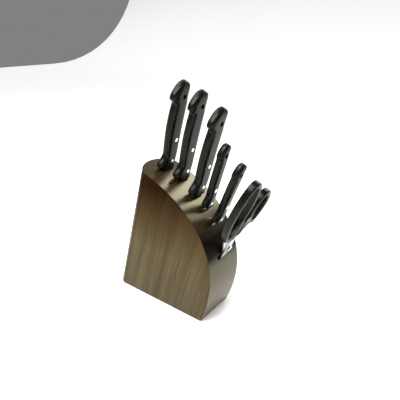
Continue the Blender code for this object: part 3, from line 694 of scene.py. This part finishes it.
blade_steel = steel("blade_steel", (0.66, 0.66, 0.63), (0.20, 0.34), (900.0, 60.0, 900.0), 0.015)
rivet_steel = steel("rivet_steel", (0.80, 0.79, 0.72), (0.14, 0.22), (900.0, 900.0, 900.0), 0.05)
screw_zinc = steel("screw_zinc", (0.58, 0.58, 0.57), (0.30, 0.42), (700.0, 700.0, 700.0), 0.05)
for name, piece in nodes.items():
    if name.startswith("base_screw"):
        piece.data.materials.clear()
        piece.data.materials.append(screw_zinc)
print("steel finishes ready")

# %% [markdown]
# The handle is lofted by hand: a rounded rectangle at the blade's end is extruded station by
# station along the handle, and at each station the ring is moved and sized to the belly and the
# spine. Subdivision then rounds the cage. The belly starts in a finger guard, narrows at the
# throat, swells for the palm, and ends in a hooked butt with a hanging hole.

# %% Handle
def slope_at(points, i):
    """The slope of a smooth run at its i-th point, level at a peak or a dip."""
    if i in (0, len(points) - 1):
        return 0.0
    (a, low), (here, value), (b, high) = points[i - 1:i + 2]
    before, after = (value - low) / (here - a), (high - value) / (b - here)
    return 0.0 if before * after <= 0 else 2 * before * after / (before + after)


def eased(points, z):
    """The value at z of a smooth run through (z, value) points."""
    z = min(max(z, points[0][0]), points[-1][0])
    i = next(i for i in range(len(points) - 1) if z <= points[i + 1][0])
    (a, low), (b, high) = points[i], points[i + 1]
    share, width = (z - a) / (b - a), b - a
    rise = low + (high - low) * (3 * share ** 2 - 2 * share ** 3)
    lead = slope_at(points, i) * width * (share - 2 * share ** 2 + share ** 3)
    trail = slope_at(points, i + 1) * width * (share ** 3 - share ** 2)
    return rise + lead + trail


def belly_line(h):
    """The belly side, as (share of the length, y)."""
    guard, throat, swell, neck, beak = (h[k] for k in ("guard", "throat", "swell", "neck", "beak"))
    return [
        (0.000, 0.9 * throat + 0.1 * guard), (0.045, guard), (0.112, 0.45 * guard + 0.55 * throat),
        (0.170, throat), (0.250, 0.35 * swell + 0.65 * throat), (0.500, swell),
        (0.680, 0.6 * swell + 0.4 * neck), (0.775, neck), (0.808, 0.97 * beak), (0.835, beak),
        (0.905, 0.74 * beak), (0.972, 0.32 * beak), (1.000, 0.05 * beak),
    ]


def spine_line(h):
    """The spine side, as (share of the length, y)."""
    spine = h["spine"]
    return [(0.0, spine), (0.925, spine), (0.975, 0.82 * spine), (1.0, 0.22 * spine)]


STATIONS = (0.022, 0.045, 0.080, 0.112, 0.142, 0.170, 0.210, 0.250, 0.330, 0.420, 0.500, 0.590,
            0.680, 0.730, 0.768, 0.786, 0.802, 0.820, 0.860, 0.905, 0.945, 0.972, 0.990, 1.000)


def model_handle(name, h):
    length, thick = h["length"], h["thickness"]
    belly = [(share * length, y) for share, y in belly_line(h)]
    spine = [(share * length, y) for share, y in spine_line(h)]
    low, high = eased(belly, 0.0), eased(spine, 0.0)
    bpy.ops.object.select_all(action="DESELECT")
    bpy.ops.mesh.primitive_plane_add(size=1.0)
    made = bpy.context.object
    made.name = name
    bpy.ops.object.mode_set(mode="EDIT")
    bpy.ops.mesh.select_all(action="SELECT")
    bpy.ops.transform.resize(value=(thick, high - low, 1.0))
    bpy.ops.transform.translate(value=(0.0, (low + high) / 2, 0.0))
    bpy.ops.mesh.bevel(offset=h["radius"], segments=5, affect="VERTICES")
    bpy.ops.mesh.select_all(action="SELECT")
    last_low, last_high, last_z, last_thick = low, high, 0.0, thick
    for share in STATIONS:
        z = share * length
        low, high = eased(belly, z), eased(spine, z)
        wide = thick * (1 - max(0.0, (share - 0.93) / 0.075) ** 2) ** 0.5
        bpy.ops.mesh.extrude_region_move(TRANSFORM_OT_translate={
            "value": (0.0, (low + high - last_low - last_high) / 2, z - last_z)})
        bpy.ops.transform.resize(
            value=(wide / last_thick, (high - low) / (last_high - last_low), 1.0),
            center_override=(0.0, (low + high) / 2, z))
        last_low, last_high, last_z, last_thick = low, high, z, wide
    choose(made, "FACE", lambda p, n: abs(n.z) > 0.99 and (p.z < 1e-5 or p.z > length - 1e-5))
    bpy.ops.mesh.inset(thickness=0.0005, depth=0.0)
    bpy.ops.object.mode_set(mode="OBJECT")
    shape_with(made, "SUBSURF", levels=2, render_levels=2)
    bpy.ops.object.shade_smooth()
    return made


def bored(piece, radius, z, reach):
    """Drill a hole along X, and round its two rims."""
    bpy.ops.object.select_all(action="DESELECT")
    bpy.ops.mesh.primitive_cylinder_add(vertices=48, radius=radius, depth=reach,
                                        location=(0.0, 0.0, z), rotation=(0.0, radians(90.0), 0.0))
    punched(piece, bpy.context.object)
    only(piece)
    bpy.ops.object.mode_set(mode="EDIT")

    def on_rim(a, b):
        return all(abs(Vector((0.0, p.y, p.z - z)).length - radius) < 0.00002
                   and abs(p.x) > radius / 2 for p in (a, b))

    found = choose(piece, "EDGE", lambda a, b: on_rim(a, b) and abs(a.x - b.x) < 0.0004)
    bpy.ops.mesh.bevel(offset=0.0006, segments=3, affect="EDGES")
    bpy.ops.object.mode_set(mode="OBJECT")
    return found


HANGING_HOLE_RADIUS = 0.0030
masters = {}
for key, h in (("large", LARGE), ("small", SMALL)):
    masters[key] = model_handle(f"{key}_handle", h)
    rim = bored(masters[key], HANGING_HOLE_RADIUS, h["hole"], 0.04)
    print(key, "handle:", len(masters[key].data.polygons), "faces,", rim, "rim edges")


def copy_of(piece, name, place):
    """A copy with its own mesh, put in place."""
    only(piece)
    bpy.ops.object.duplicate(linked=False)
    made = bpy.context.object
    made.name = name
    made.matrix_world = place
    return made


for name in KNIVES:
    handle = copy_of(masters[size_of[name]], f"{name}_grip", knife_frame(name))
    finish(handle, name, handle_black, "handle_plastic", f"{name}_handle")

# %% [markdown]
# Two rivets hold each handle to its tang. A rivet is a short bar with a rounded rim and a
# slightly domed end. One is made for each thickness of handle, and copied.

# %% Rivets
def model_rivet(name, radius, length):
    bpy.ops.object.select_all(action="DESELECT")
    bpy.ops.mesh.primitive_cylinder_add(vertices=40, radius=radius, depth=length,
                                        rotation=(0.0, radians(90.0), 0.0))
    made = bpy.context.object
    made.name = name
    bpy.ops.object.transform_apply(location=True, rotation=True, scale=True)
    bpy.ops.object.mode_set(mode="EDIT")
    choose(made, "FACE", lambda p, n: abs(n.x) > 0.9)
    bpy.ops.mesh.inset(thickness=0.00045, depth=0.00008, use_individual=True)
    bpy.ops.mesh.inset(thickness=0.00090, depth=0.00010, use_individual=True)
    bpy.ops.mesh.inset(thickness=0.00080, depth=0.00005, use_individual=True)
    bpy.ops.object.mode_set(mode="OBJECT")
    softened(made, 0.00015, 2, 50.0)
    return made


RIVET_RADIUS = 0.0028
for key, h in (("large", LARGE), ("small", SMALL)):
    masters[f"{key} rivet"] = model_rivet(f"{key}_rivet", RIVET_RADIUS, h["thickness"])
for name in KNIVES:
    place = knife_frame(name)
    for number, z in enumerate(sizes[name]["rivets"], 1):
        rivet = copy_of(masters[f"{size_of[name]} rivet"], f"{name}_pin_{number}",
                        place @ Matrix.Translation((0.0, 0.0, z)))
        finish(rivet, name, rivet_steel, "rivet_steel", f"{name}_rivet_{number}")

# %% [markdown]
# ## Blades
#
# A blade is a thin plate with a ground lower half. The plate's section is cut at the grind line,
# its lower edge is pinched to an edge, and the section is then extruded towards the tip, sized
# at each station to the spine and the edge. The bread knife has a scalloped edge.

# %% Blades
BLADES = {
    "bread_knife": {"spine": 0.0085, "heel": 0.028, "fall": 0.003, "belly": 7.0},
    "chef_knife": {"spine": 0.0085, "heel": 0.036, "fall": 0.004, "belly": 2.0},
    "carving_knife": {"spine": 0.0085, "heel": 0.026, "fall": 0.004, "belly": 3.0},
    "utility_knife": {"spine": 0.0075, "heel": 0.020, "fall": 0.003, "belly": 2.4},
    "paring_knife": {"spine": 0.0075, "heel": 0.018, "fall": 0.003, "belly": 1.8},
}


def blade_length(name):
    """How far a blade reaches below its handle, from the lowest point of its box."""
    place = knife_frame(name)
    low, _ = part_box(f"{name}_blade")
    return (place.translation.z - low.z) / draw[name].z


SHOULDER = 0.0009
TANG_HALF_WIDTH = 0.0045
TANG_LENGTH = 0.010
SCALLOPS = (0.0, 0.0006, 0.0009, 0.0006)


def model_blade(name, stations):
    b = BLADES[name]
    length = blade_length(name) - 0.0005
    bpy.ops.object.select_all(action="DESELECT")
    bpy.ops.mesh.primitive_plane_add(size=1.0)
    made = bpy.context.object
    made.name = f"{name}_steel"
    bpy.ops.object.mode_set(mode="EDIT")
    bpy.ops.mesh.select_all(action="SELECT")
    bpy.ops.transform.resize(value=(BLADE_THICKNESS, b["heel"], 1.0))
    bpy.ops.transform.translate(value=(0.0, b["spine"] - b["heel"] / 2, -SHOULDER))
    grind = b["spine"] - 0.45 * b["heel"]
    bpy.ops.mesh.select_all(action="SELECT")
    bpy.ops.mesh.bisect(plane_co=(0.0, grind, 0.0), plane_no=(0.0, 1.0, 0.0))
    choose(made, "VERT", lambda p: p.y < b["spine"] - b["heel"] + 0.0001)
    bpy.ops.transform.resize(value=(0.12, 1.0, 1.0))
    bpy.ops.mesh.select_mode(type="FACE")
    bpy.ops.mesh.select_all(action="SELECT")
    last_low, last_high, last_z, last_thick = b["spine"] - b["heel"], b["spine"], -SHOULDER, 1.0
    for i in range(1, stations + 1):
        far = min(i / stations, 0.988)
        z = -SHOULDER - (length - SHOULDER) * i / stations
        high = b["spine"] - b["fall"] * far ** 3
        low = high - b["heel"] * (1 - far ** b["belly"])
        if name == "bread_knife" and 0.04 < far < 0.95:
            low += SCALLOPS[i % 4]
        thick = 1.0 - 0.4 * far ** 2
        bpy.ops.mesh.extrude_region_move(TRANSFORM_OT_translate={
            "value": (0.0, (low + high - last_low - last_high) / 2, z - last_z)})
        bpy.ops.transform.resize(
            value=(thick / last_thick, (high - low) / (last_high - last_low), 1.0),
            center_override=(0.0, (low + high) / 2, z))
        last_low, last_high, last_z, last_thick = low, high, z, thick
    choose(made, "FACE", lambda p, n: p.z > -SHOULDER - 0.00005 and n.z > 0.9)
    heel_mid = b["spine"] - b["heel"] / 2
    bpy.ops.mesh.extrude_region_move(TRANSFORM_OT_translate={"value": (0.0, 0.0, SHOULDER)})
    bpy.ops.transform.resize(value=(0.98, 2 * TANG_HALF_WIDTH / b["heel"], 1.0),
                             center_override=(0.0, heel_mid, 0.0))
    bpy.ops.transform.translate(value=(0.0, -heel_mid, 0.0))
    bpy.ops.mesh.extrude_region_move(TRANSFORM_OT_translate={"value": (0.0, 0.0, TANG_LENGTH)})
    bpy.ops.object.mode_set(mode="OBJECT")
    only(made)
    bpy.ops.object.mode_set(mode="EDIT")
    bpy.ops.mesh.select_all(action="SELECT")
    bpy.ops.mesh.normals_make_consistent(inside=False)
    bpy.ops.object.mode_set(mode="OBJECT")
    bpy.ops.object.shade_smooth_by_angle(angle=radians(12.0))
    return made


for name in KNIVES:
    place = knife_frame(name)
    blade = model_blade(name, 96 if name == "bread_knife" else 36)
    blade.matrix_world = place
    finish(blade, name, blade_steel, "blade_steel", f"{name}_blade")

# %% [markdown]
# ## Scissors
#
# Each half is a steel blade whose shank runs up into a black plastic loop. The steel outline is
# a closed Bezier curve, filled and given its thickness, with its edges rounded. The loops are
# ovals with an oval opening and rounded rims, and a shallow sunk panel on each flat face.

# %% Scissors steel
LOOPS = {
    "finger": {
        "side": -1, "bottom": 0.0275, "length": 0.099, "width": 0.0415, "near": 0.0050,
        "leaves": (-65.0, 200.0),
        "shank": [(0.0048, 0.0550), (0.0046, 0.0340), (0.0062, 0.0268), (0.0200, 0.0264),
                  (0.0270, 0.0286)],
        "steel": [(-0.0053, 0.0063), (-0.0010, 0.0180), (0.0022, 0.0262), (0.0110, 0.0300),
                  (0.0124, 0.0337), (0.0224, 0.0337), (0.0235, 0.0245), (0.0175, 0.0120),
                  (0.0105, 0.0010)],
    },
    "thumb": {
        "side": 1, "bottom": 0.0370, "length": 0.0585, "width": 0.0375, "near": 0.0050,
        "leaves": (-75.0, 190.0),
        "shank": [(0.0010, 0.0580), (-0.0018, 0.0470), (-0.0030, 0.0320), (-0.0024, 0.0276),
                  (0.0014, 0.0280), (0.0078, 0.0352), (0.0165, 0.0412)],
        "steel": [(-0.0075, 0.0040), (-0.0056, 0.0130), (-0.0014, 0.0268), (0.0050, 0.0385),
                  (0.0110, 0.0455), (0.0170, 0.0455), (0.0150, 0.0428), (0.0012, 0.0286),
                  (0.0026, 0.0150), (0.0050, 0.0030)],
    },
}
LOOP_THICKNESS = 0.0094
LOOP_RIM = 0.0072
LOOP_RIM_RADIUS = 0.0022
LOOP_FOOT = 0.0085
LOOP_NARROWING = 0.22
STEEL_EDGE = 0.0003


def filled_outline(name, outlines, half, edge, place):
    """Closed Bezier outlines in local YZ, filled and given a thickness, with rounded edges."""
    made_curve = bpy.data.curves.new(name, "CURVE")
    made_curve.dimensions = "2D"
    made_curve.fill_mode = "BOTH"
    made_curve.resolution_u = 8
    for points, soft in outlines:
        run = made_curve.splines.new("BEZIER")
        run.bezier_points.add(len(points) - 1)
        for knot, (y, z), smooth in zip(run.bezier_points, points, soft):
            knot.co = (y, z, 0.0)
            kind = "AUTO" if smooth else "VECTOR"
            knot.handle_left_type = knot.handle_right_type = kind
        run.use_cyclic_u = True
    made_curve.extrude = half
    made = bpy.data.objects.new(name, made_curve)
    bpy.context.scene.collection.objects.link(made)
    only(made)
    bpy.ops.object.convert(target="MESH")
    made = bpy.context.object
    stand = Matrix(((0, 0, 1, 0), (1, 0, 0, 0), (0, 1, 0, 0), (0, 0, 0, 1)))
    made.matrix_world = place @ stand
    only(made)
    bpy.ops.object.transform_apply(location=True, rotation=True, scale=True)
    bpy.ops.object.mode_set(mode="EDIT")
    bpy.ops.mesh.select_all(action="SELECT")
    bpy.ops.mesh.remove_doubles(threshold=0.000005)
    bpy.ops.mesh.dissolve_limited(angle_limit=radians(0.5))
    bpy.ops.mesh.normals_make_consistent(inside=False)
    bpy.ops.object.mode_set(mode="OBJECT")
    softened(made, edge, 4)
    return made


MOUTH_TO_PIVOT = 0.010156
DEPTH = 0.085443


def half_points(loop):
    """A steel half from its tip to its tang, seen from the front, from the pivot."""
    side = loop["side"]

    def below(share):
        return -MOUTH_TO_PIVOT - share * DEPTH

    back = [(-0.0010, below(1.0)), (-0.0085, below(0.62)), (-BLADE_HALF_WIDTH, below(0.15)),
            (-BLADE_HALF_WIDTH, -0.008)]
    edge = [(0.0080, -0.006), (0.0030, -0.013), (0.0025, below(0.62)), (0.0005, below(1.0))]
    points = back + loop["steel"] + edge
    soft = [1] * len(points)
    soft[0] = soft[-1] = soft[-2] = 0
    return [(side * y, z) for y, z in points], soft


layers = {"finger": -GAP / 2 - STEEL / 2, "thumb": GAP / 2 + STEEL / 2}
body_of = {"finger": "scissors", "thumb": "scissors_thumb_half"}
for key, loop in LOOPS.items():
    layer = scissors_place @ Matrix.Translation((layers[key], 0.0, 0.0))
    half = filled_outline(f"scissors_{key}_steel", [half_points(loop)], STEEL / 2,
                          STEEL_EDGE, layer)
    finish(half, body_of[key], blade_steel, "blade_steel", f"scissors_{key}_blade")

# %% Scissors loops
def oval(centre_y, centre_z, half_y, half_z, start=0.0, end=360.0, count=18):
    """Points round an oval whose lower half narrows, from one angle to another."""
    points = []
    whole = end - start >= 360.0
    for i in range(count):
        turn = radians(start + (end - start) * i / (count if whole else count - 1))
        narrow = 1 - LOOP_NARROWING * max(-sin(turn), 0.0)
        points.append((centre_y + half_y * cos(turn) * narrow, centre_z + half_z * sin(turn)))
    return points


for key, loop in LOOPS.items():
    side, half_y, half_z = loop["side"], loop["width"] / 2, loop["length"] / 2
    centre_y = loop["near"] + half_y
    inner_z = (loop["length"] - LOOP_RIM - LOOP_FOOT) / 2
    outer = oval(centre_y, loop["bottom"] + half_z, half_y, half_z, *loop["leaves"])
    outer = [(side * y, z) for y, z in outer + loop["shank"]]
    inner = oval(centre_y, loop["bottom"] + LOOP_FOOT + inner_z, half_y - LOOP_RIM, inner_z)
    inner = [(side * y, z) for y, z in inner]
    ring = filled_outline(f"scissors_{key}_grip",
                          [(outer, [1] * len(outer)), (inner, [1] * len(inner))],
                          LOOP_THICKNESS / 2, LOOP_RIM_RADIUS, Matrix.Identity(4))
    only(ring)
    bpy.ops.object.mode_set(mode="EDIT")
    flat = choose(ring, "FACE", lambda p, n: (
        abs(n.x) > 0.999 and abs(p.x) > LOOP_THICKNESS / 2 - 0.0001))
    bpy.ops.mesh.inset(thickness=0.0009, depth=-0.0006)
    bpy.ops.object.mode_set(mode="OBJECT")
    bpy.ops.object.shade_smooth_by_angle(angle=radians(35.0))
    ring.matrix_world = scissors_place
    finish(ring, body_of[key], handle_black, "handle_plastic", f"scissors_{key}_loop")
    print(flat, "flat faces given a sunk panel")

# %% [markdown]
# The pivot is a screw with a slotted head in front and a round nut behind.

# %% Pivot
PIVOT_HEAD_RADIUS = 0.0050
PIVOT_HEAD_HEIGHT = 0.0014
SCREWDRIVER_SLOT = 0.0011


def disc(name, radius, height, x, body, stands_for, slot_width=0.0):
    bpy.ops.object.select_all(action="DESELECT")
    bpy.ops.mesh.primitive_cylinder_add(vertices=48, radius=radius, depth=height,
                                        rotation=(0.0, radians(90.0), 0.0))
    made = bpy.context.object
    made.name = name
    bpy.ops.object.transform_apply(location=True, rotation=True, scale=True)
    bpy.ops.object.mode_set(mode="EDIT")
    choose(made, "FACE", lambda p, n: abs(n.x) > 0.9)
    bpy.ops.mesh.inset(thickness=0.0008, depth=0.0, use_individual=True)
    bpy.ops.object.mode_set(mode="OBJECT")
    if slot_width:
        bpy.ops.object.select_all(action="DESELECT")
        bpy.ops.mesh.primitive_cube_add(size=1.0, location=(height / 2, 0.0, 0.0),
                                        rotation=(radians(35.0), 0.0, 0.0),
                                        scale=(height, 3 * radius, slot_width))
        punched(made, bpy.context.object)
    softened(made, 0.0002, 2, 40.0)
    made.matrix_world = scissors_place @ Matrix.Translation((x, 0.0, 0.0))
    finish(made, body, rivet_steel, "rivet_steel", stands_for)


reach = STEEL + GAP / 2 + GAP
middle = reach + PIVOT_HEAD_HEIGHT / 2
disc("scissors_pivot_head", PIVOT_HEAD_RADIUS, PIVOT_HEAD_HEIGHT, middle, "scissors",
     "scissors_pivot_screw", SCREWDRIVER_SLOT)
disc("scissors_pivot_washer", PIVOT_HEAD_RADIUS, PIVOT_HEAD_HEIGHT, -middle, "scissors",
     "scissors_pivot_nut")

for key in masters:
    bpy.data.objects.remove(masters[key])
